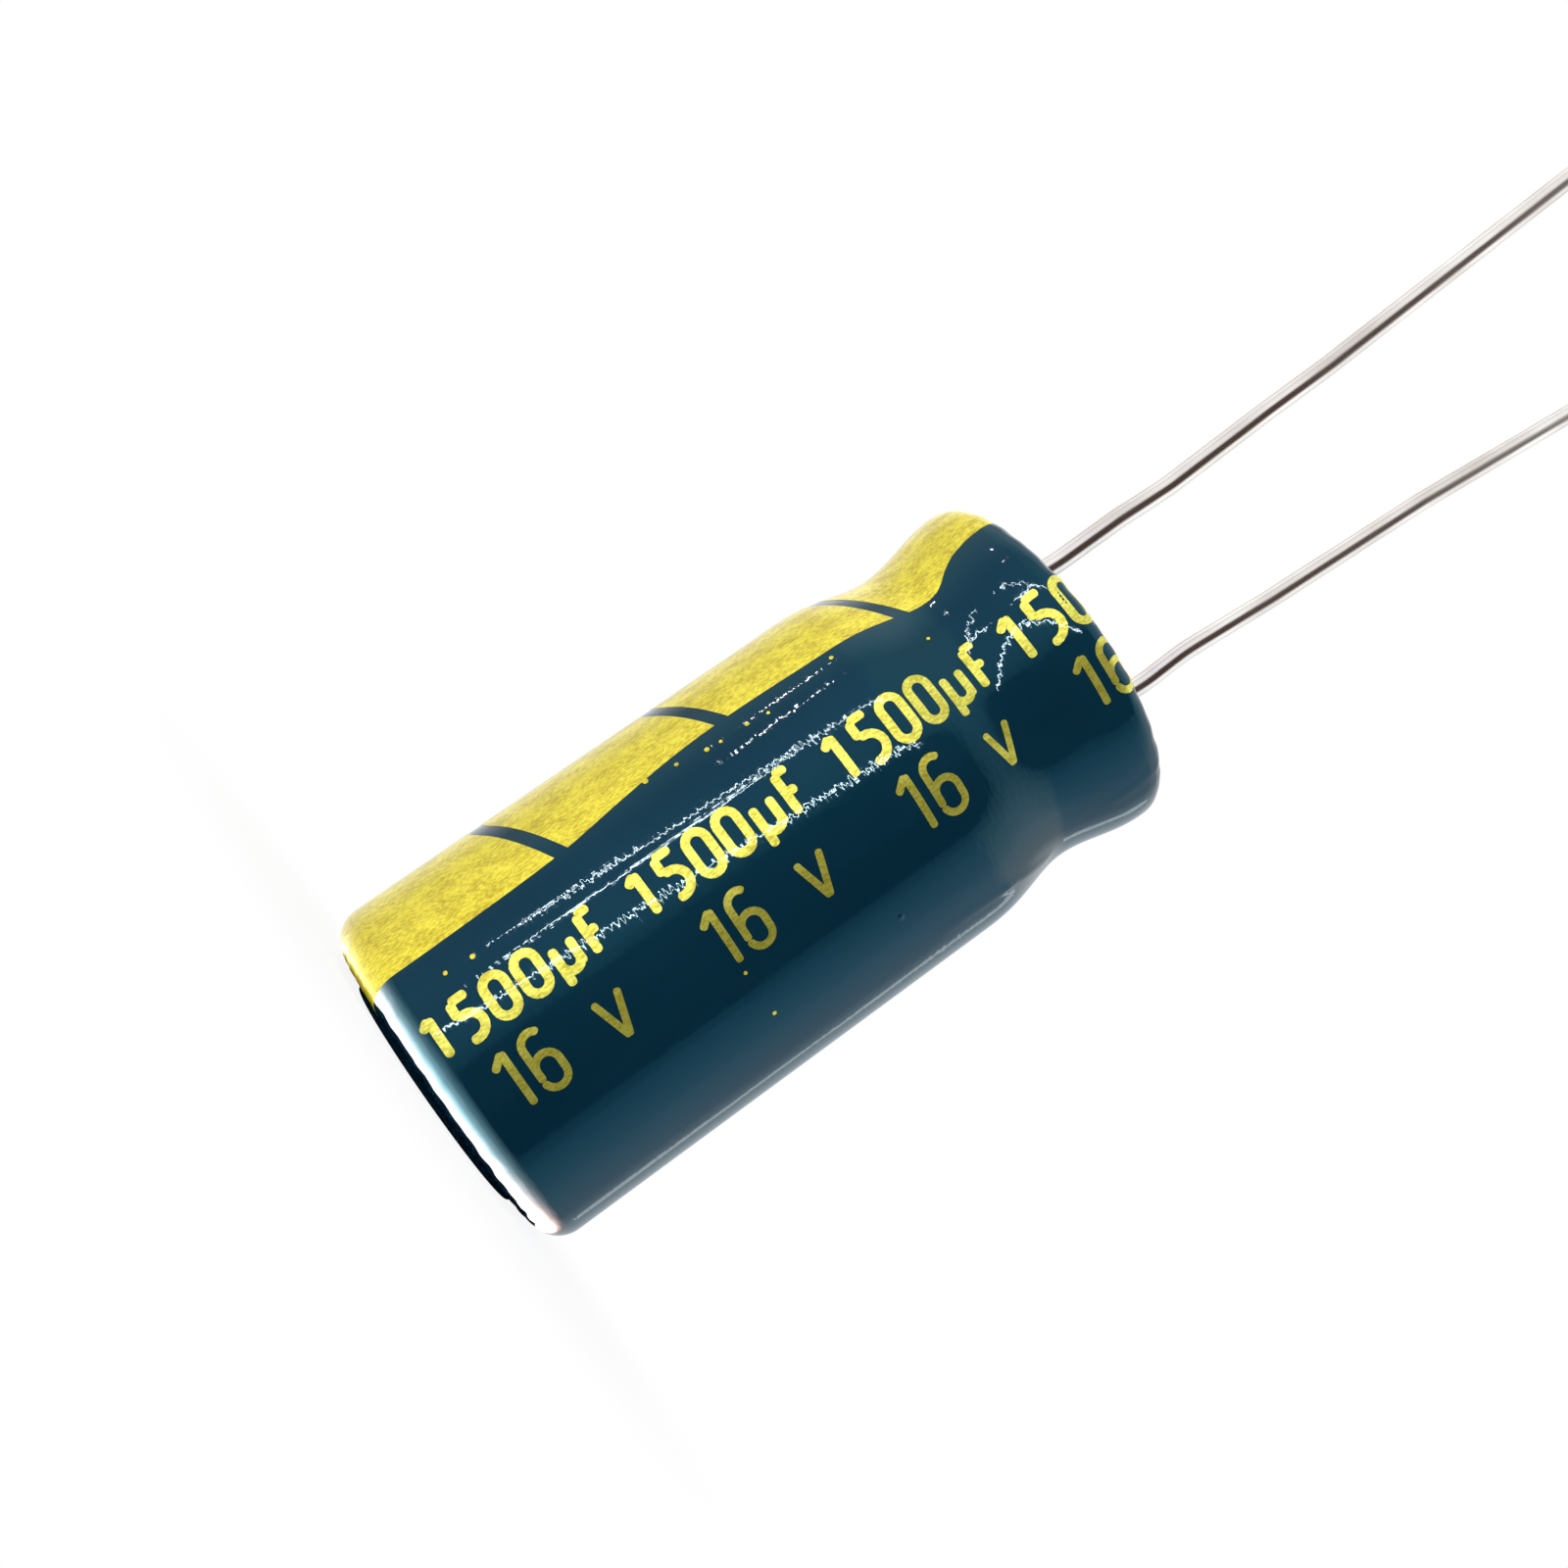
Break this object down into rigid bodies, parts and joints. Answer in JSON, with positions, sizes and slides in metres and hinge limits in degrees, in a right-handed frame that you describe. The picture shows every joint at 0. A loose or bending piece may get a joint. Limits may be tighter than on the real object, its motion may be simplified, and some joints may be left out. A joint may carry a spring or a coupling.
{
  "type": "electrolytic capacitor",
  "caption": "Radial aluminium electrolytic capacitor: beaded can in a teal shrink sleeve, rubber seal, wound element inside and long, slightly bent tinned leads.",
  "frame": {"origin": "middle of the vent end, on the floor that the part stands on", "axes": "+Z from the vent end to the leads, along the can's axis; +X from the cathode lead towards the anode lead"},
  "size_m": [0.0102, 0.0102, 0.0485],
  "materials": {
    "bare_aluminium": "drawn, satin",
    "sleeve_film": "glossy shrunk film, dark teal",
    "gold_ink": "gold ink with fine flakes, printed on the film",
    "seal_rubber": "moulded, matt",
    "foil_and_paper": "soaked paper with foil edges",
    "tape": "smooth tape",
    "tab_aluminium": "drawn and pressed flat",
    "tinned_wire": "tinned, satin, slightly dull"
  },
  "bodies": {
    "root": {"can": "bare_aluminium", "sleeve": "sleeve_film", "seal_bung": "seal_rubber", "wound_element": "foil_and_paper", "winding_tape": "tape", "anode_tab": "tab_aluminium", "cathode_tab": "tab_aluminium", "anode_lead": "tinned_wire", "cathode_lead": "tinned_wire"}
  },
  "joints": []
}
